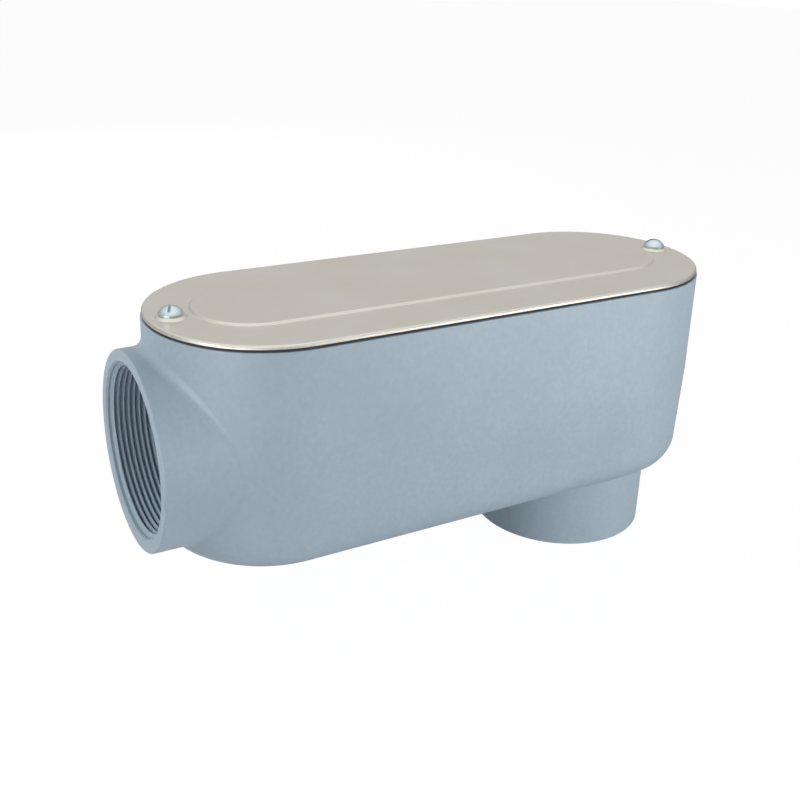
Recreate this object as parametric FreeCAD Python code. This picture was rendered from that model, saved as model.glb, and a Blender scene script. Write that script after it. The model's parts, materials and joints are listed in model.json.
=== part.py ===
"""Conduit body, LB pattern, for 3 1/2 inch rigid conduit.

A cast aluminium tub with a threaded hub in its front end and another in its
floor, a rubber gasket on its machined rim, a pressed sheet cover, and the two
screws that hold the cover down.  Millimetres, +Z towards the cover.  The
origin is on the bottom hub's axis where its thread begins, and the front hub
points to -X.
"""

import FreeCAD, Part
import math
import os

V = FreeCAD.Vector
X_AXIS = V(1, 0, 0)
Z_AXIS = V(0, 0, 1)

# ---------------------------------------------------------------- casting
RIM_LENGTH = 379.4        # outline of the tub at its machined rim
RIM_WIDTH = 140.4
WALL = 5.0                # cast wall and floor
UPPER_DRAFT = 0.05        # degrees, rim down to the draft break
LOWER_DRAFT = 2.17        # degrees, draft break down to the bottom edge
DRAFT_BREAK = 66.4        # depth of the draft break under the rim
BOTTOM_RADIUS = 19.5      # round between the walls and the underside
RIM_EDGE_RADIUS = 0.8     # round on the rim's outer edge

# ------------------------------------------------------------------- hubs
HUB_WALL = 7.65           # round the thread, at the mouth
HUB_DRAFT = 0.43          # degrees, each hub widens towards the tub
HUB_EDGE_RADIUS = 0.9     # round on the mouth's outer edge
FRONT_HUB_STANDOUT = 11.6     # mouth beyond the rim's front end
FRONT_HUB_RIM_GAP = 14.3      # hub's top under the rim
FRONT_HUB_FLOOR_GAP = 5.4     # hub's bottom above the tub's underside
BOTTOM_HUB_LENGTH = 44.3      # mouth below the tub's underside
BOTTOM_HUB_FROM_END = 83.3    # axis to the rim's rear end
FRONT_BLEND = 5.5         # cast fillet where the front hub meets the tub
BOTTOM_BLEND = 3.0        # cast fillet where the bottom hub meets the tub

# ----------------------------------------------------- 3 1/2 - 8 NPT bores
THREAD_DIAMETER = 101.3   # root of the internal thread at the mouth
THREAD_LENGTH = 31.8
MOUTH_CHAMFER = 1.1
BUSHING_DIAMETER = 90.0   # smooth throat behind the thread
BUSHING_LENGTH = 6.0
BUSHING_ROUND = 2.5       # round on the throat's inner edge, for the wires
COLLAR_WALL = 5.2         # wall of the hub ring inside the tub

# ------------------------------------------------------------ cover screws
SCREW_FROM_END = 14.4     # screw axis to the rim's end
SCREW_DIAMETER = 6.35     # 1/4 - 20
SCREW_LENGTH = 15.9       # under the head
SCREW_POINT = 0.8         # chamfer at the end of the thread
HEAD_DIAMETER = 14.2
HEAD_HEIGHT = 5.4
HEAD_EDGE = 1.3           # straight edge under the dome
SLOT_WIDTH = 1.6
SLOT_DEPTH = 2.4
FRONT_SLOT_ANGLE = 61.0   # degrees from +X at rest
REAR_SLOT_ANGLE = -30.0
TAPPED_CLEARANCE = 0.15   # round the screw in its tapped hole
TAPPED_DEPTH = 15.0       # from the rim
BOSS_RADIUS = 8.0
BOSS_DEPTH = 19.0         # straight part of the boss, from the rim
BOSS_TAPER = 9.0          # cast taper under the boss
BOSS_TIP_RADIUS = 2.7     # where that taper ends

# ------------------------------------------------------- cover and gasket
COVER_INSET = 0.7         # cover's edge inside the rim's outline
SHEET = 2.1               # cover's sheet thickness
COVER_EDGE_RADIUS = 1.4
PANEL_LENGTH = 326.6      # raised middle of the cover, at its foot
PANEL_WIDTH = 71.0
PANEL_RISE = 1.2
PANEL_SLOPE = 1.0         # width of the pressed step
PANEL_ROUND = 1.0         # rounds at the head and the foot of the step
SEAT_RISE = 1.4           # pressed seat under each screw head
SEAT_RADIUS = 7.6         # flat top of that seat
SEAT_SLOPE = 1.6
COVER_HOLE_CLEARANCE = 0.45   # round the screw in the cover
GASKET_THICKNESS = 1.6
GASKET_BAND = 7.5         # width of the gasket along the rim
GASKET_EAR = 9.0          # radius of the gasket's ear round each screw
GASKET_INSET = 0.5        # gasket's edge inside the cover's edge

OVERRUN = 1.0             # how far a cutting tool reaches past what it cuts
TOUCHING = 1e-3           # nearer than this counts as touching

# ------------------------------------------------------------ derived places
HUB_RADIUS = THREAD_DIAMETER / 2 + HUB_WALL
TUB_DEPTH = FRONT_HUB_RIM_GAP + 2 * HUB_RADIUS + FRONT_HUB_FLOOR_GAP
MOUTH_Z = -MOUTH_CHAMFER                 # bottom hub's mouth, under its thread
UNDERSIDE_Z = MOUTH_Z + BOTTOM_HUB_LENGTH
FLOOR_Z = UNDERSIDE_Z + WALL
RIM_Z = UNDERSIDE_Z + TUB_DEPTH
REAR_X = BOTTOM_HUB_FROM_END
FRONT_X = REAR_X - RIM_LENGTH
MIDDLE_X = (FRONT_X + REAR_X) / 2
END_RADIUS = RIM_WIDTH / 2
HALF_SPINE = RIM_LENGTH / 2 - END_RADIUS
FRONT_MOUTH_X = FRONT_X - FRONT_HUB_STANDOUT
FRONT_HUB_Z = RIM_Z - FRONT_HUB_RIM_GAP - HUB_RADIUS
SCREW_XS = {"front": FRONT_X + SCREW_FROM_END, "rear": REAR_X - SCREW_FROM_END}
SLOT_ANGLES = {"front": FRONT_SLOT_ANGLE, "rear": REAR_SLOT_ANGLE}
THREAD_RADIUS = THREAD_DIAMETER / 2
BUSHING_RADIUS = BUSHING_DIAMETER / 2
COVER_Z = RIM_Z + GASKET_THICKNESS       # underside of the cover's flat edge
COVER_TOP = COVER_Z + SHEET              # top of that flat edge
SEAT_Z = COVER_TOP + SEAT_RISE           # where the screw heads bear


def outline(points):
    """Wire through (r, z) points in the plane x = 0; a point may carry the
    radius that rounds it, as (r, z, radius)."""
    edges = []
    corners = [V(0, p[0], p[1]) for p in points]
    rounds = [p[2] if len(p) > 2 else 0.0 for p in points]
    count = len(points)
    starts, ends = [], []
    for i, corner in enumerate(corners):
        back = (corners[i - 1] - corner).normalize()
        ahead = (corners[(i + 1) % count] - corner).normalize()
        reach = 0.0
        if rounds[i]:
            reach = rounds[i] / math.tan(back.getAngle(ahead) / 2)
        starts.append(corner + back * reach)
        ends.append(corner + ahead * reach)
    for i, corner in enumerate(corners):
        if rounds[i]:
            back = (starts[i] - corner).normalize()
            ahead = (ends[i] - corner).normalize()
            half = back.getAngle(ahead) / 2
            towards = (back + ahead).normalize()
            middle = corner + towards * (rounds[i] / math.sin(half) - rounds[i])
            edges.append(Part.Arc(starts[i], middle, ends[i]).toShape())
        edges.append(Part.makeLine(ends[i], starts[(i + 1) % count]))
    return Part.Wire(edges)


def stadium(points, half_spine=HALF_SPINE):
    """Solid with the given (r, z) half section all along a round-ended
    outline: turned through half a circle at each end, drawn straight between.
    The spine joins the centres of the two ends."""
    section = Part.Face(outline(points))
    front = section.revolve(V(0, 0, 0), Z_AXIS, 180)
    rear = section.revolve(V(0, 0, 0), Z_AXIS, -180)
    side = section.extrude(X_AXIS * (2 * half_spine))
    side.translate(V(MIDDLE_X - half_spine, 0, 0))
    front.translate(V(MIDDLE_X - half_spine, 0, 0))
    rear.translate(V(MIDDLE_X + half_spine, 0, 0))
    other_side = side.mirror(V(0, 0, 0), V(0, 1, 0))
    return front.fuse([rear, side, other_side]).removeSplitter()


def tub_section(inset, bottom_z, bottom_radius, top_z, top_radius=0.0):
    """Half section of the drafted tub, moved inwards by the inset."""
    upper = math.tan(math.radians(UPPER_DRAFT))
    lower = math.tan(math.radians(LOWER_DRAFT))
    break_z = RIM_Z - DRAFT_BREAK
    at_break = END_RADIUS - DRAFT_BREAK * upper - inset
    at_bottom = at_break - (break_z - bottom_z) * lower
    at_top = at_break + (top_z - break_z) * upper
    return [(0, bottom_z), (at_bottom, bottom_z, bottom_radius),
            (at_break, break_z), (at_top, top_z, top_radius), (0, top_z)]


def hub_blank(length):
    """Outside of a hub, mouth at the origin and body towards +Z."""
    root = HUB_RADIUS + length * math.tan(math.radians(HUB_DRAFT))
    blank = Part.makeCone(HUB_RADIUS, root, length)
    mouth = [e for e in blank.Edges if abs(e.BoundBox.ZMax) < TOUCHING]
    return blank.makeFillet(HUB_EDGE_RADIUS, mouth)


def hub_ring():
    """Ring that carries the thread and the bushing inside the tub."""
    length = THREAD_LENGTH + BUSHING_LENGTH
    return Part.makeCylinder(THREAD_RADIUS + COLLAR_WALL, length)


def hub_bore(throat):
    """Everything cut out of a hub, mouth at the origin: the chamfer, the
    thread's bore and the bushing's throat, rounded where it opens inside."""
    chamfer = Part.makeCone(THREAD_RADIUS + MOUTH_CHAMFER, THREAD_RADIUS,
                            MOUTH_CHAMFER)
    thread = Part.makeCylinder(THREAD_RADIUS, THREAD_LENGTH)
    end = THREAD_LENGTH + throat
    start = THREAD_LENGTH - OVERRUN
    flare = [(0, start), (BUSHING_RADIUS, start),
             (BUSHING_RADIUS, end - BUSHING_ROUND)]
    wide = BUSHING_RADIUS + BUSHING_ROUND
    edges = [Part.makeLine(V(0, *a), V(0, *b))
             for a, b in zip(flare, flare[1:])]
    turn = BUSHING_ROUND * math.sqrt(0.5)
    middle = V(0, wide - turn, end - BUSHING_ROUND + turn)
    edges.append(Part.Arc(V(0, *flare[-1]), middle, V(0, wide, end)).toShape())
    last = [(wide, end), (wide, end + OVERRUN), (0, end + OVERRUN), flare[0]]
    edges += [Part.makeLine(V(0, *a), V(0, *b)) for a, b in zip(last, last[1:])]
    neck = Part.Face(Part.Wire(edges)).revolve(V(0, 0, 0), Z_AXIS, 360)
    return chamfer.fuse([thread, neck])


def to_bottom(shape):
    """Move a hub shape to the bottom hub's place, body towards +Z."""
    moved = shape.copy()
    moved.translate(V(0, 0, MOUTH_Z))
    return moved


def to_front(shape):
    """Turn a hub shape from +Z to the front hub's place, body towards +X."""
    turned = shape.copy()
    turned.rotate(V(0, 0, 0), V(0, 1, 0), 90)
    turned.translate(V(FRONT_MOUTH_X, 0, FRONT_HUB_Z))
    return turned


def joint_edges(shape, hub, tub):
    """Edges that lie on both the hub's outside and the tub's outside."""
    found = []
    for edge in shape.Edges:
        middle = edge.valueAt((edge.FirstParameter + edge.LastParameter) / 2)
        spot = Part.Vertex(middle)
        on_hub = spot.distToShape(hub)[0] < TOUCHING
        if on_hub and spot.distToShape(tub)[0] < TOUCHING:
            found.append(edge)
    return found


def screw_boss(x, end_x):
    """Boss under a cover screw, joined to the end wall beside it."""
    foot = RIM_Z - BOSS_DEPTH
    boss = Part.makeCylinder(BOSS_RADIUS, BOSS_DEPTH, V(x, 0, foot))
    taper = Part.makeCone(BOSS_TIP_RADIUS, BOSS_RADIUS, BOSS_TAPER,
                          V(x, 0, foot - BOSS_TAPER))
    in_wall = end_x + math.copysign(WALL / 2, x - end_x)
    web = Part.makeBox(abs(x - in_wall), 2 * BOSS_RADIUS, BOSS_DEPTH)
    web.translate(V(min(x, in_wall), -BOSS_RADIUS, foot))
    return boss.fuse([taper, web])


def body_casting():
    outer = stadium(tub_section(0, UNDERSIDE_Z, BOTTOM_RADIUS, RIM_Z,
                                RIM_EDGE_RADIUS))
    front_blank = to_front(hub_blank(MIDDLE_X - HALF_SPINE - FRONT_MOUTH_X))
    bottom_blank = to_bottom(hub_blank(BOTTOM_HUB_LENGTH + BOTTOM_RADIUS))
    solid = outer
    for blank, blend in ((front_blank, FRONT_BLEND), (bottom_blank, BOTTOM_BLEND)):
        solid = solid.fuse(blank)
        seam = joint_edges(solid, blank.Shells[0], outer.Shells[0])
        solid = solid.makeFillet(blend, seam)
    cavity = stadium(tub_section(WALL, FLOOR_Z, BOTTOM_RADIUS - WALL,
                                 RIM_Z + OVERRUN))
    solid = solid.cut(cavity)
    bosses = [screw_boss(SCREW_XS["front"], FRONT_X),
              screw_boss(SCREW_XS["rear"], REAR_X)]
    solid = solid.fuse([to_front(hub_ring()), *bosses])
    bottom_throat = FLOOR_Z - MOUTH_Z - THREAD_LENGTH
    holes = [to_front(hub_bore(BUSHING_LENGTH)), to_bottom(hub_bore(bottom_throat))]
    tapped = SCREW_DIAMETER / 2 + TAPPED_CLEARANCE
    for x in SCREW_XS.values():
        holes.append(Part.makeCylinder(tapped, TAPPED_DEPTH + OVERRUN,
                                       V(x, 0, RIM_Z - TAPPED_DEPTH)))
    return solid.cut(holes).removeSplitter()


def screw_seat(x, drop):
    """Pressed seat round a screw hole; drop gives the cone of its underside."""
    foot = V(x, 0, SEAT_Z - SEAT_RISE - drop)
    return Part.makeCone(SEAT_RADIUS + SEAT_SLOPE, SEAT_RADIUS, SEAT_RISE, foot)


def raised_panel():
    """Pressed middle of the cover, out to just past the foot of its step."""
    foot = PANEL_WIDTH / 2
    head = foot - PANEL_SLOPE
    lip = foot + PANEL_ROUND
    raised_z = COVER_Z + PANEL_RISE
    raised_top = COVER_TOP + PANEL_RISE
    half_spine = PANEL_LENGTH / 2 - foot
    pressed = stadium([
        (0, raised_z), (head, raised_z, PANEL_ROUND), (foot, COVER_Z, PANEL_ROUND),
        (lip, COVER_Z), (lip, COVER_TOP), (foot, COVER_TOP, PANEL_ROUND),
        (head, raised_top, PANEL_ROUND), (0, raised_top)], half_spine)
    opening = stadium([(0, COVER_Z - OVERRUN), (lip, COVER_Z - OVERRUN),
                       (lip, COVER_TOP + OVERRUN), (0, COVER_TOP + OVERRUN)],
                      half_spine)
    return pressed, opening


def cover_plate():
    edge = END_RADIUS - COVER_INSET
    flat = stadium([(0, COVER_Z), (edge, COVER_Z),
                    (edge, COVER_TOP, COVER_EDGE_RADIUS), (0, COVER_TOP)])
    pressed, opening = raised_panel()
    plate = flat.cut(opening).fuse(pressed).removeSplitter()
    hole = SCREW_DIAMETER / 2 + COVER_HOLE_CLEARANCE
    for x in SCREW_XS.values():
        plate = plate.fuse(screw_seat(x, 0))
        plate = plate.cut(screw_seat(x, SHEET))
        plate = plate.cut(Part.makeCylinder(hole, SHEET + SEAT_RISE + 2 * OVERRUN,
                                            V(x, 0, COVER_Z - OVERRUN)))
    return plate.removeSplitter()


def cover_gasket():
    edge = END_RADIUS - COVER_INSET - GASKET_INSET
    inner = edge - GASKET_BAND
    top = RIM_Z + GASKET_THICKNESS
    sheet = stadium([(0, RIM_Z), (edge, RIM_Z), (edge, top), (0, top)])
    opening = stadium([(0, RIM_Z - OVERRUN), (inner, RIM_Z - OVERRUN),
                       (inner, top + OVERRUN), (0, top + OVERRUN)])
    ring = sheet.cut(opening)
    hole = SCREW_DIAMETER / 2 + COVER_HOLE_CLEARANCE
    for x in SCREW_XS.values():
        ear = Part.makeCylinder(GASKET_EAR, GASKET_THICKNESS, V(x, 0, RIM_Z))
        ring = ring.fuse(ear.common(sheet))
        ring = ring.cut(Part.makeCylinder(hole, GASKET_THICKNESS + 2 * OVERRUN,
                                          V(x, 0, RIM_Z - OVERRUN)))
    return ring.removeSplitter()


def cover_screw(x, slot_angle):
    """Slotted dome head screw, seated on the cover at the given x."""
    head_r = HEAD_DIAMETER / 2
    rise = HEAD_HEIGHT - HEAD_EDGE
    dome_r = (head_r ** 2 + rise ** 2) / (2 * rise)
    half = math.asin(head_r / dome_r) / 2
    dome_centre = HEAD_HEIGHT - dome_r
    middle = V(0, dome_r * math.sin(half), dome_centre + dome_r * math.cos(half))
    edge_top = V(0, head_r, HEAD_EDGE)
    crown = V(0, 0, HEAD_HEIGHT)
    edges = [Part.makeLine(V(0, 0, 0), V(0, head_r, 0)),
             Part.makeLine(V(0, head_r, 0), edge_top),
             Part.Arc(edge_top, middle, crown).toShape(),
             Part.makeLine(crown, V(0, 0, 0))]
    head = Part.Face(Part.Wire(edges)).revolve(V(0, 0, 0), Z_AXIS, 360)
    shank_r = SCREW_DIAMETER / 2
    shank = Part.makeCylinder(shank_r, SCREW_LENGTH - SCREW_POINT,
                              V(0, 0, SCREW_POINT - SCREW_LENGTH))
    point = Part.makeCone(shank_r - SCREW_POINT, shank_r, SCREW_POINT,
                          V(0, 0, -SCREW_LENGTH))
    slot = Part.makeBox(HEAD_DIAMETER + 2 * OVERRUN, SLOT_WIDTH, SLOT_DEPTH + OVERRUN)
    slot.translate(V(-head_r - OVERRUN, -SLOT_WIDTH / 2, HEAD_HEIGHT - SLOT_DEPTH))
    slot.rotate(V(0, 0, 0), Z_AXIS, slot_angle)
    screw = head.fuse([shank, point]).removeSplitter().cut(slot)
    screw.translate(V(x, 0, SEAT_Z))
    return screw


def main():
    os.makedirs("parts", exist_ok=True)
    pieces = {"body_casting": body_casting(), "cover_plate": cover_plate(),
              "cover_gasket": cover_gasket()}
    for end, x in SCREW_XS.items():
        pieces[f"cover_screw_{end}"] = cover_screw(x, SLOT_ANGLES[end])
    for node, shape in pieces.items():
        shape.exportStep(f"parts/{node}.step")
        print(node, len(shape.Solids), shape.isValid(), round(shape.Volume / 1000, 1))


main()
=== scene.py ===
# %% [markdown]
# # A cast conduit body
#
# This is an LB conduit body: a deep aluminium tub that takes a run of 3 1/2
# inch pipe round a right angle.  A threaded hub points out of its front end,
# another points out of its floor, and a pressed sheet cover is held down on a
# rubber gasket by two slotted screws.  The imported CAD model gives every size
# and place.  This file adds what the solids leave out: the cut threads, the
# finishes, the light and the camera.

# %% Load the fixed frame
import json
import math

import bpy
from mathutils import Euler, Matrix, Vector

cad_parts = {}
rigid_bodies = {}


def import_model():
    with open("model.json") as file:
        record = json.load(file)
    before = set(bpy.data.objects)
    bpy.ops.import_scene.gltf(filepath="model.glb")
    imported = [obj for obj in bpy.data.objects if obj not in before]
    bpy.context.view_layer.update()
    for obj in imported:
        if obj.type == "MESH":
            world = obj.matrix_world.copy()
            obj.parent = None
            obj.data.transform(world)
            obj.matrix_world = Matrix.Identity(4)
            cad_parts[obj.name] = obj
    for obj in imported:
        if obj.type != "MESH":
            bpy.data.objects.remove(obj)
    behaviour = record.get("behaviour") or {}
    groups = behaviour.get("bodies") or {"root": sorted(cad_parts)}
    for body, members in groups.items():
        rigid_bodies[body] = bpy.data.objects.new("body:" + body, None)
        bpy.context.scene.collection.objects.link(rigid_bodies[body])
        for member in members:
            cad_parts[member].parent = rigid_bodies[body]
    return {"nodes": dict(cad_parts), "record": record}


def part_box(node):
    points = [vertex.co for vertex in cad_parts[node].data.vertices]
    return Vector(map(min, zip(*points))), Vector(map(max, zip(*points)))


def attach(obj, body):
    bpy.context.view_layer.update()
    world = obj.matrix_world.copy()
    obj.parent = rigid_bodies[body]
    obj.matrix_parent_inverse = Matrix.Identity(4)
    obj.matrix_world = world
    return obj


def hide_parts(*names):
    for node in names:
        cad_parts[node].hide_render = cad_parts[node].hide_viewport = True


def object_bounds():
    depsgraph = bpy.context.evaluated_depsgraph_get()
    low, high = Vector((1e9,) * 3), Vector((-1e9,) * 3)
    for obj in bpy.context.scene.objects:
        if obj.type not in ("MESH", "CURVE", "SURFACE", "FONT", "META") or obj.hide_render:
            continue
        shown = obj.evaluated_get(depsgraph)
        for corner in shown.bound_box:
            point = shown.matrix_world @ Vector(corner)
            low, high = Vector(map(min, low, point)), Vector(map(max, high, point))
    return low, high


for leftover in list(bpy.data.objects):
    bpy.data.objects.remove(leftover)
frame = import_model()
cad_low, cad_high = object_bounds()
MM = 0.001
print("frame loaded, object spans", [round(v / MM, 1) for v in cad_high - cad_low], "mm")

# %% [markdown]
# ## Colours and nodes
#
# Colours are written as they would be picked on a screen, in sRGB, and Blender
# mixes light in linear values, so one function turns the first into the
# second.  A second small function adds a shader or geometry node, sets its
# properties, and either links or fills its inputs.  The three after them cover
# what every finish here needs: noise of a known size, a colour that drifts
# with it, and a gloss that drifts with it.


# %% Colour and node helpers
def paint(code):
    """Linear RGBA of an sRGB hex colour."""
    values = [int(code[i:i + 2], 16) / 255 for i in (1, 3, 5)]
    linear = [v / 12.92 if v <= 0.04045 else ((v + 0.055) / 1.055) ** 2.4 for v in values]
    return (*linear, 1.0)


def add_node(tree, kind, inputs=None, **settings):
    """A node of that kind, with its settings made and its inputs linked or set."""
    made = tree.nodes.new(kind)
    for name, value in settings.items():
        setattr(made, name, value)
    for name, value in (inputs or {}).items():
        socket = made.inputs[name]
        if isinstance(value, bpy.types.NodeSocket):
            tree.links.new(value, socket)
        else:
            socket.default_value = value
    return made


def new_finish(name, **shader_values):
    """An empty material with one Principled shader whose plain values are set."""
    finish = bpy.data.materials.new(name)
    finish.use_nodes = True
    tree = finish.node_tree
    shader = tree.nodes["Principled BSDF"]
    for socket, value in shader_values.items():
        shader.inputs[socket.replace("_", " ")].default_value = value
    place = add_node(tree, "ShaderNodeTexCoord").outputs["Object"]
    return finish, tree, shader, place


def noise(tree, place, feature_mm, detail):
    """Noise whose blotches are about that many millimetres across."""
    return add_node(tree, "ShaderNodeTexNoise", {
        "Vector": place, "Scale": 1.0 / (feature_mm * MM), "Detail": detail}).outputs["Fac"]


def drift_colour(tree, shader, factor, first, second):
    """A base colour that goes from one sRGB hex colour to another."""
    tint = add_node(tree, "ShaderNodeMix", {"Factor": factor}, data_type="RGBA")
    tint.inputs["A"].default_value = paint(first)
    tint.inputs["B"].default_value = paint(second)
    tree.links.new(tint.outputs["Result"], shader.inputs["Base Color"])


def drift_roughness(tree, shader, factor, least, most):
    """A roughness that goes from one value to another."""
    gloss = add_node(tree, "ShaderNodeMapRange", {"Value": factor, "To Min": least, "To Max": most})
    tree.links.new(gloss.outputs[0], shader.inputs["Roughness"])


# %% [markdown]
# ## Enamel on a casting
#
# The tub is cast aluminium with a sprayed, baked enamel.  The colour is a
# dusty blue-grey.  Spray leaves a fine orange peel about 2 mm from crest to
# crest, and the casting under it is never quite flat, so reflections wander
# over some 30 mm.  Both are bumps from noise, and the colour drifts by a hair
# where the coat is thicker.


# %% Casting enamel
COAT_DRIFT, COAT_SPECK = 70, 3  # mm across
SAG_ACROSS, SAG_DEPTH = 28, 0.35 * MM
PEEL_ACROSS, PEEL_DEPTH = 2.2, 0.035 * MM


def casting_enamel():
    finish, tree, shader, place = new_finish("baked_enamel_on_casting", Metallic=0.0)
    drift = noise(tree, place, COAT_DRIFT, 3.0)
    speck = noise(tree, place, COAT_SPECK, 2.0)
    cloud = add_node(tree, "ShaderNodeMath", {0: drift, 1: speck}, operation="ADD")
    ramp = add_node(tree, "ShaderNodeMapRange", {"Value": cloud.outputs[0], "From Min": 0.7, "From Max": 1.3})
    drift_colour(tree, shader, ramp.outputs[0], "#A1B3BE", "#A9BBC9")
    drift_roughness(tree, shader, drift, 0.42, 0.56)
    sag = noise(tree, place, SAG_ACROSS, 1.0)
    peel = noise(tree, place, PEEL_ACROSS, 1.0)
    wave = add_node(tree, "ShaderNodeBump", {"Height": sag, "Distance": SAG_DEPTH, "Strength": 1.0})
    skin = add_node(tree, "ShaderNodeBump", {
        "Height": peel, "Distance": PEEL_DEPTH, "Strength": 1.0, "Normal": wave.outputs["Normal"]})
    tree.links.new(skin.outputs["Normal"], shader.inputs["Normal"])
    return finish


# %% [markdown]
# ## Machined rim
#
# The rim's top is faced flat after casting, so that the gasket seals on it.
# Cutting leaves a dull metal that still shows some grey.  It is only part
# metallic here, which keeps it from turning black where little is reflected.


# %% Machined aluminium
def machined_aluminium():
    finish, tree, shader, place = new_finish("machined_casting_aluminium", Metallic=0.35)
    rings = noise(tree, place, 1.2, 2.0)
    drift_colour(tree, shader, rings, "#9CABAB", "#B9C4C6")
    drift_roughness(tree, shader, rings, 0.34, 0.48)
    return finish


# %% [markdown]
# ## Bare rolled sheet
#
# The cover is sheet aluminium as it leaves the mill, a warm grey with faint
# lines along the rolling direction.  Squeezing the noise's coordinate along X
# draws a round blotch out into a line, which is simpler than a second texture.

# %% Mill finish sheet
ROLLING_STRETCH = 0.06
LINE_DEPTH = 0.006 * MM


def mill_sheet():
    finish, tree, shader, place = new_finish("mill_finish_aluminium_sheet", Metallic=1.0)
    rolled = add_node(tree, "ShaderNodeMapping", {"Vector": place, "Scale": (ROLLING_STRETCH, 1.0, 1.0)})
    lines = noise(tree, rolled.outputs[0], 0.9, 3.0)
    cloud = noise(tree, place, 45, 3.0)
    drift_colour(tree, shader, cloud, "#CCC6B8", "#D2D0CB")
    drift_roughness(tree, shader, lines, 0.36, 0.50)
    drawn = add_node(tree, "ShaderNodeBump", {"Height": lines, "Distance": LINE_DEPTH})
    tree.links.new(drawn.outputs["Normal"], shader.inputs["Normal"])
    return finish


# %% [markdown]
# ## Rubber and zinc
#
# The gasket is black rubber with a little dust on it, so it is rough and never
# quite black.  The screws are steel with a bright, slightly blue zinc plate:
# fully metallic and the smoothest finish on the object.


# %% Gasket rubber
def gasket_rubber():
    finish, tree, shader, place = new_finish("die_cut_sheet_rubber", Metallic=0.0, Roughness=0.75)
    drift_colour(tree, shader, noise(tree, place, 6, 4.0), "#1B2024", "#2A3036")
    return finish


# %% Bright zinc plate
def zinc_plate():
    finish, tree, shader, place = new_finish("bright_zinc_plated_steel", Metallic=1.0)
    bloom = noise(tree, place, 2.5, 3.0)
    drift_colour(tree, shader, bloom, "#AFC0C4", "#CAD6DA")
    drift_roughness(tree, shader, bloom, 0.16, 0.30)
    return finish


FINISHES = {"enamel": casting_enamel(), "machined": machined_aluminium(), "sheet": mill_sheet(),
            "rubber": gasket_rubber(), "zinc": zinc_plate()}
print(len(FINISHES), "finishes made")

# %% [markdown]
# ## Sizes
#
# The hub threads have to sit exactly in the holes that the solids have, so their
# place, radius and length come from the frame's mounts and aren't typed here.

# %% Sizes read from the frame
mounts = {m["name"]: m for m in frame["record"]["mounts"]}
casting_low, casting_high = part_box("body_casting")
front_thread_start = Vector(mounts["front_hub"]["pos_m"])
bottom_thread_start = Vector(mounts["bottom_hub"]["pos_m"])
thread_wall = mounts["bottom_hub"]["dims"]["r_mm"] * MM
thread_length = mounts["bottom_hub"]["dims"]["length_mm"] * MM
print("hub thread", round(thread_wall / MM, 2), "mm radius,", round(thread_length / MM, 1), "mm long")

# %% [markdown]
# ## The casting
#
# One casting carries two finishes: enamel all over, and bare metal on the rim.
# A CAD part keeps its own mesh, so a copy takes the second material and rides
# in its place.  Its shape isn't touched.

# %% Casting with its machined rim
FLAT = 0.99  # upward part of a face's normal
LEVEL = 0.01 * MM


def copy_of_node(name, node):
    """A new object with the same mesh as a CAD node, free to take finishes."""
    piece = bpy.data.objects.new(name, frame["nodes"][node].data.copy())
    bpy.context.scene.collection.objects.link(piece)
    piece.data.materials.clear()
    return piece


shell = copy_of_node("painted_casting", "body_casting")
shell.data.materials.append(FINISHES["enamel"])
shell.data.materials.append(FINISHES["machined"])
machined = [f for f in shell.data.polygons if f.center.z > casting_high.z - LEVEL and f.normal.z > FLAT]
for face in machined:
    face.material_index = 1
print(len(machined), "rim faces left bare")
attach(shell, "tub")
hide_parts("body_casting")


# %% [markdown]
# ## Cut threads
#
# One geometry tree makes every thread.  A tooth section runs along a helix,
# fades in and out at its ends, and is then cut back by a countersink cone at
# the mouth.  A positive height points the tooth inwards, as in a hub, and a
# negative one outwards, as on a screw.


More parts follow.
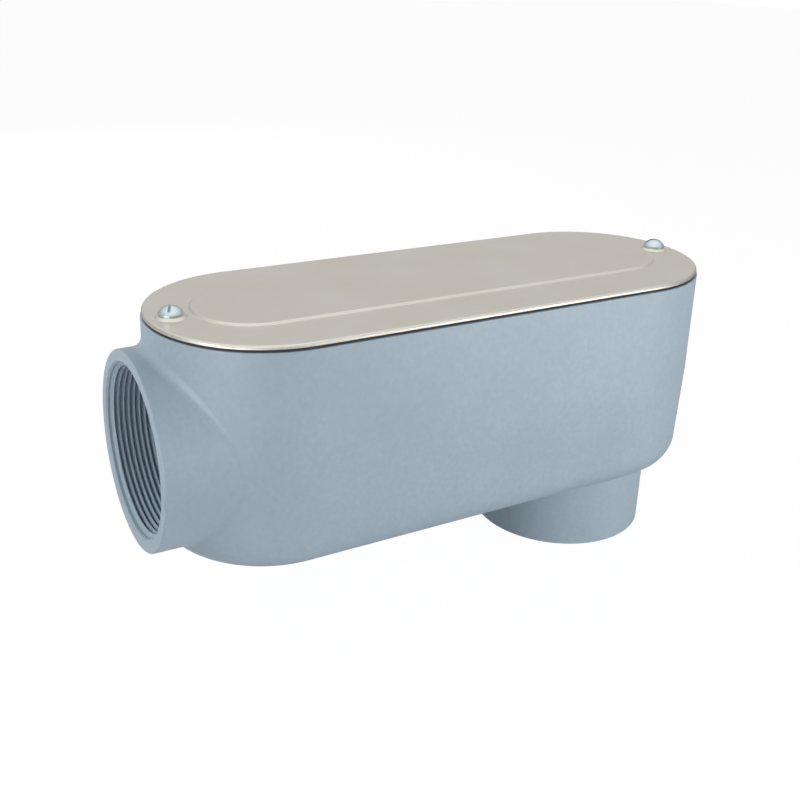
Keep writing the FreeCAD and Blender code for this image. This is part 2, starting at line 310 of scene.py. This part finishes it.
# %% Helical tooth as geometry nodes
def helix_tree():
    tree = bpy.data.node_groups.new("cut_thread", "GeometryNodeTree")
    panel = tree.interface
    for label, default in (("Wall Radius", 0.05), ("Pitch", 0.003), ("Turns", 9.0), ("Height", 0.0025),
                           ("Root Width", 0.003), ("Crest Width", 0.0003), ("Fade In", 0.1),
                           ("Fade Out", 0.9), ("Countersink Radius", 0.0)):
        panel.new_socket(label, in_out="INPUT", socket_type="NodeSocketFloat").default_value = default
    panel.new_socket("Finish", in_out="INPUT", socket_type="NodeSocketMaterial")
    panel.new_socket("Geometry", in_out="OUTPUT", socket_type="NodeSocketGeometry")
    given = add_node(tree, "NodeGroupInput").outputs

    rise = add_node(tree, "ShaderNodeMath", {0: given["Pitch"], 1: given["Turns"]}, operation="MULTIPLY")
    path = add_node(tree, "GeometryNodeCurveSpiral", {
        "Resolution": 96, "Rotations": given["Turns"], "Start Radius": given["Wall Radius"],
        "End Radius": given["Wall Radius"], "Height": rise.outputs[0]})
    upright = add_node(tree, "GeometryNodeSetCurveNormal", {"Curve": path.outputs[0]}, mode="Z_UP")
    along = add_node(tree, "GeometryNodeSplineParameter").outputs["Factor"]
    begin = add_node(tree, "ShaderNodeMapRange", {
        "Value": along, "From Min": 0.0, "From Max": given["Fade In"], "To Min": 0.02, "To Max": 1.0})
    end = add_node(tree, "ShaderNodeMapRange", {
        "Value": along, "From Min": given["Fade Out"], "From Max": 1.0, "To Min": 1.0, "To Max": 0.02})
    swell = add_node(tree, "ShaderNodeMath", {0: begin.outputs[0], 1: end.outputs[0]}, operation="MINIMUM")
    faded = add_node(tree, "GeometryNodeSetCurveRadius", {
        "Curve": upright.outputs[0], "Radius": swell.outputs[0]})

    tooth = add_node(tree, "GeometryNodeCurvePrimitiveQuadrilateral", {
        "Bottom Width": given["Root Width"], "Top Width": given["Crest Width"], "Height": given["Height"],
        "Offset": 0.0}, mode="TRAPEZOID")
    half = add_node(tree, "ShaderNodeMath", {0: given["Height"], 1: 0.5}, operation="MULTIPLY")
    lift = add_node(tree, "ShaderNodeCombineXYZ", {"Y": half.outputs[0]})
    seated = add_node(tree, "GeometryNodeTransform", {
        "Geometry": tooth.outputs[0], "Translation": lift.outputs[0]})
    turned = add_node(tree, "GeometryNodeTransform", {
        "Geometry": seated.outputs[0], "Rotation": Euler((0, 0, math.radians(-90)))})
    swept = add_node(tree, "GeometryNodeCurveToMesh", {
        "Curve": faded.outputs[0], "Profile Curve": turned.outputs[0], "Fill Caps": True})

    spot = add_node(tree, "GeometryNodeInputPosition").outputs[0]
    parts = add_node(tree, "ShaderNodeSeparateXYZ", {0: spot}).outputs
    flat = add_node(tree, "ShaderNodeCombineXYZ", {"X": parts["X"], "Y": parts["Y"]}).outputs[0]
    radius = add_node(tree, "ShaderNodeVectorMath", {0: flat}, operation="LENGTH").outputs["Value"]
    cone = add_node(tree, "ShaderNodeMath", {
        0: given["Countersink Radius"], 1: parts["Z"]}, operation="SUBTRACT")
    kept = add_node(tree, "ShaderNodeMath", {0: radius, 1: cone.outputs[0]}, operation="MAXIMUM")
    ratio = add_node(tree, "ShaderNodeMath", {0: kept.outputs[0], 1: radius}, operation="DIVIDE")
    pushed = add_node(tree, "ShaderNodeVectorMath", {0: flat, "Scale": ratio.outputs[0]}, operation="SCALE")
    spread = add_node(tree, "ShaderNodeSeparateXYZ", {0: pushed.outputs[0]}).outputs
    moved = add_node(tree, "ShaderNodeCombineXYZ", {"X": spread["X"], "Y": spread["Y"], "Z": parts["Z"]})
    sunk = add_node(tree, "GeometryNodeSetPosition", {
        "Geometry": swept.outputs[0], "Position": moved.outputs[0]})

    whole = add_node(tree, "GeometryNodeRealizeInstances", {"Geometry": sunk.outputs[0]})
    dressed = add_node(tree, "GeometryNodeSetMaterial", {
        "Geometry": whole.outputs[0], "Material": given["Finish"]})
    add_node(tree, "NodeGroupOutput", {"Geometry": dressed.outputs[0]})
    return tree


CUT_THREAD = helix_tree()

# %% [markdown]
# ## From tree to mesh
#
# The tree is run once on an empty carrier, and its result is kept as a plain
# mesh.  A plain mesh exports as it is, and the carrier can go.


# %% Turning a tree's result into a plain mesh
def cut_thread(name, values, place, body):
    """A thread made by the tree with these values, riding on a body."""
    carrier = bpy.data.objects.new(name + "_maker", bpy.data.meshes.new(name + "_maker"))
    bpy.context.scene.collection.objects.link(carrier)
    modifier = carrier.modifiers.new("cut_thread", "NODES")
    modifier.node_group = CUT_THREAD
    sockets = {item.name: item.identifier for item in CUT_THREAD.interface.items_tree
               if item.in_out == "INPUT"}
    for label, value in values.items():
        modifier[sockets[label]] = value
    mesh = bpy.data.meshes.new_from_object(carrier.evaluated_get(bpy.context.evaluated_depsgraph_get()))
    bpy.data.objects.remove(carrier)
    mesh.name = name
    mesh.transform(place)
    mesh.shade_smooth()
    mesh.set_sharp_from_angle(angle=math.radians(30))
    piece = bpy.data.objects.new(name, mesh)
    bpy.context.scene.collection.objects.link(piece)
    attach(piece, body)
    print(name, len(mesh.polygons), "faces")


# %% [markdown]
# ## Hub threads
#
# Both hubs are tapped for the same pipe, and painted with the rest, so their
# threads take the enamel.  A real pipe thread tapers by 1 in 16.  It is left
# straight here, because the solids' holes are.  Each tooth starts slightly
# inside the wall, so that no gap shows at its root.

# %% Hub threads, 8 to the inch
INCH = 25.4 * MM
PITCH = INCH / 8
THREAD_HEIGHT = 0.8 * PITCH
SUNK = 0.1 * MM
FIRST_TURN = 0.45 * MM
COUNTERSINK_ROOM = 0.04 * MM

hub_thread = {"Wall Radius": thread_wall + SUNK, "Pitch": PITCH,
              "Turns": (thread_length - FIRST_TURN) / PITCH, "Height": THREAD_HEIGHT + SUNK,
              "Root Width": 0.97 * PITCH, "Crest Width": 0.14 * PITCH, "Fade In": 0.05, "Fade Out": 0.95,
              "Countersink Radius": thread_wall + COUNTERSINK_ROOM, "Finish": FINISHES["enamel"]}
first_turn = Matrix.Translation((0, 0, FIRST_TURN))
into_bottom = Matrix.Translation(bottom_thread_start) @ first_turn
into_front = Matrix.Translation(front_thread_start) @ Matrix.Rotation(math.radians(90), 4, "Y") @ first_turn
cut_thread("bottom_hub_thread", hub_thread, into_bottom, "tub")
cut_thread("front_hub_thread", hub_thread, into_front, "tub")

# %% [markdown]
# ## Screw threads
#
# The same tree, with a negative height, makes the thread on each quarter inch
# screw.  The solid shank is already as thick as the thread's crest, and the
# tapped hole leaves little room round it, so the tooth is much lower than a
# real one and only hints at the thread when the cover is up.

# %% Screw threads, 20 to the inch
SCREW_PITCH = INCH / 20
SHANK_RADIUS = 3.175 * MM
SCREW_TOOTH = 0.14 * MM
THREADED = 13.5 * MM
PLAIN_POINT = 0.9 * MM

screw_thread = {"Wall Radius": SHANK_RADIUS - SUNK, "Pitch": SCREW_PITCH, "Turns": THREADED / SCREW_PITCH,
                "Height": -(SCREW_TOOTH + SUNK), "Root Width": 0.7 * SCREW_PITCH,
                "Crest Width": 0.2 * SCREW_PITCH, "Fade In": 0.08, "Fade Out": 0.94,
                "Countersink Radius": 0.0, "Finish": FINISHES["zinc"]}
for end in ("front", "rear"):
    low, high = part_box("cover_screw_" + end)
    foot = Matrix.Translation(((low.x + high.x) / 2, (low.y + high.y) / 2, low.z + PLAIN_POINT))
    cut_thread(end + "_screw_thread", screw_thread, foot, end + "_screw")

# %% [markdown]
# ## Parts that only need a finish
#
# The cover, gasket and screws have their full shape in the solids.  Each keeps
# its own mesh and takes its finish through its material slots.

# %% Cover, gasket and screws
for node, finish in (("cover_plate", "sheet"), ("cover_gasket", "rubber"),
                     ("cover_screw_front", "zinc"), ("cover_screw_rear", "zinc")):
    for slot in frame["nodes"][node].material_slots:
        slot.material = FINISHES[finish]
    print(node, "is", finish)

# %% [markdown]
# ## Floor
#
# A plain white sheet.  The camera sees it almost as pure light, and the small
# rest is an ordinary matte surface, which keeps the object's shadow.  It lies a
# hair under the lower hub, so that two faces never share one plane.

# %% Floor
FLOOR_REACH = 6.0
FLOOR_GAP = 0.2 * MM
GLOW, GLOW_SHARE = 1.03, 0.94

floor_mesh = bpy.data.meshes.new("floor")
under = casting_low.z - FLOOR_GAP
corners = [(x * FLOOR_REACH, y * FLOOR_REACH, under) for x, y in ((-1, -1), (1, -1), (1, 1), (-1, 1))]
floor_mesh.from_pydata(corners, [], [(0, 1, 2, 3)])
floor = bpy.data.objects.new("floor", floor_mesh)
bpy.context.scene.collection.objects.link(floor)
floor_finish, tree, shader, _ = new_finish("white_paper_floor", Roughness=0.9)
shader.inputs["Base Color"].default_value = (0.9, 0.9, 0.9, 1.0)
rays = add_node(tree, "ShaderNodeLightPath").outputs
bright = add_node(tree, "ShaderNodeEmission", {"Color": (1, 1, 1, 1), "Strength": GLOW})
direct = add_node(tree, "ShaderNodeMath", {0: rays["Is Camera Ray"], 1: GLOW_SHARE}, operation="MULTIPLY")
blend = add_node(tree, "ShaderNodeMixShader", {
    0: direct.outputs[0], 1: shader.outputs[0], 2: bright.outputs[0]})
tree.links.new(blend.outputs[0], tree.nodes["Material Output"].inputs["Surface"])
floor_mesh.materials.append(floor_finish)
print("floor at", round(under / MM, 1), "mm")

# %% [markdown]
# ## World
#
# The world is white to the camera and gives no light to matte surfaces.  Metal
# needs something to reflect, so it sees a ceiling that is brighter overhead
# than at the horizon, as under a large studio panel.

# %% World
HORIZON_UP, HORIZON_LIGHT = 0.35, 0.60
OVERHEAD_UP, OVERHEAD_LIGHT = 0.9, 1.35

world = bpy.data.worlds.new("studio")
bpy.context.scene.world = world
world.use_nodes = True
sky = world.node_tree
rays = add_node(sky, "ShaderNodeLightPath").outputs
background = sky.nodes["Background"]
background.inputs["Color"].default_value = (1, 1, 1, 1)
heading = add_node(sky, "ShaderNodeTexCoord").outputs["Generated"]
upward = add_node(sky, "ShaderNodeSeparateXYZ", {0: heading}).outputs["Z"]
ceiling = add_node(sky, "ShaderNodeMapRange", {
    "Value": upward, "From Min": HORIZON_UP, "From Max": OVERHEAD_UP,
    "To Min": HORIZON_LIGHT, "To Max": OVERHEAD_LIGHT})
sheen = add_node(sky, "ShaderNodeMath", {
    0: ceiling.outputs[0], 1: rays["Is Glossy Ray"]}, operation="MULTIPLY")
strength = add_node(sky, "ShaderNodeMath", {
    0: sheen.outputs[0], 1: rays["Is Camera Ray"]}, operation="MAXIMUM")
sky.links.new(strength.outputs[0], background.inputs["Strength"])

# %% [markdown]
# ## Lamps
#
# Square soft boxes stand round the object: most of the light comes from the
# front and the left, with one behind so that the far side isn't dark.  They
# light the paint but don't show in reflections.  Two more, level with the
# object, do the opposite: they only draw the bright line along the cover's
# edge.

# %% Soft boxes
middle = (cad_low + cad_high) / 2


def soft_box(name, azimuth, elevation, distance, side, power):
    """A square lamp that faces the object; azimuth 0 is in front, 90 right.

    It lights without showing in reflections, since the bare sheet would burn
    out to white wherever it mirrors a lamp.
    """
    around, up = math.radians(azimuth), math.radians(elevation)
    away = Vector((math.sin(around) * math.cos(up), -math.cos(around) * math.cos(up), math.sin(up)))
    light = bpy.data.lights.new(name, "AREA")
    light.shape = "SQUARE"
    light.size = side
    light.energy = power
    lamp = bpy.data.objects.new(name, light)
    lamp.location = middle + away * distance
    lamp.rotation_euler = (-away).to_track_quat("-Z", "Y").to_euler()
    lamp.visible_glossy = False
    bpy.context.scene.collection.objects.link(lamp)
    return lamp


# name, azimuth and elevation in degrees, distance and side in metres, power in watts
LAMPS = (("key_soft_box", 30, 15, 0.75, 0.5, 1.95),
         ("front_soft_box", 15, 12, 1.6, 0.9, 5.3),
         ("left_soft_box", -75, 30, 1.6, 0.9, 6.5),
         ("back_left_soft_box", -120, 30, 1.6, 0.9, 9.0),
         ("low_left_soft_box", -45, 12, 1.6, 0.9, 2.1),
         ("right_soft_box", 75, 30, 1.6, 0.9, 1.5),
         ("back_soft_box", 180, 20, 1.6, 0.9, 5.5))
GLINTS = (("glint_soft_box", 33, 0, 0.75, 0.28, 1.7),
          ("left_glint_soft_box", -60, 0, 0.75, 0.5, 4.2))
for values in LAMPS:
    soft_box(*values)
for values in GLINTS:
    glint = soft_box(*values)
    glint.visible_glossy = True
    glint.visible_diffuse = False
print(len(LAMPS), "lamps and", len(GLINTS), "glints")

# %% [markdown]
# ## Camera
#
# A product view from the front left and a little above, through a normal
# lens, with the camera leaning by about two degrees.

# %% Camera
CAMERA_SPOT = Vector((-457.9, -548.2, 382.4)) * MM
AZIMUTH, ELEVATION, ROLL = (math.radians(a) for a in (30.457, 19.811, 1.934))
SENSOR_WIDTH, FOCAL_LENGTH = 36.0, 48.85  # mm
SHIFT_UP = -0.0875

lens = bpy.data.cameras.new("camera")
lens.sensor_width = SENSOR_WIDTH
lens.lens = FOCAL_LENGTH
lens.shift_y = SHIFT_UP
camera = bpy.data.objects.new("camera", lens)
bpy.context.scene.collection.objects.link(camera)
camera.location = CAMERA_SPOT
forward = Vector((math.sin(AZIMUTH) * math.cos(ELEVATION), math.cos(AZIMUTH) * math.cos(ELEVATION),
                  -math.sin(ELEVATION)))
turn = forward.to_track_quat("-Z", "Y").to_matrix() @ Matrix.Rotation(ROLL, 3, "Z")
camera.rotation_euler = turn.to_euler()
bpy.context.scene.camera = camera
bpy.context.scene.view_settings.view_transform = "Standard"
print("camera at", [round(v / MM, 1) for v in CAMERA_SPOT], "mm")
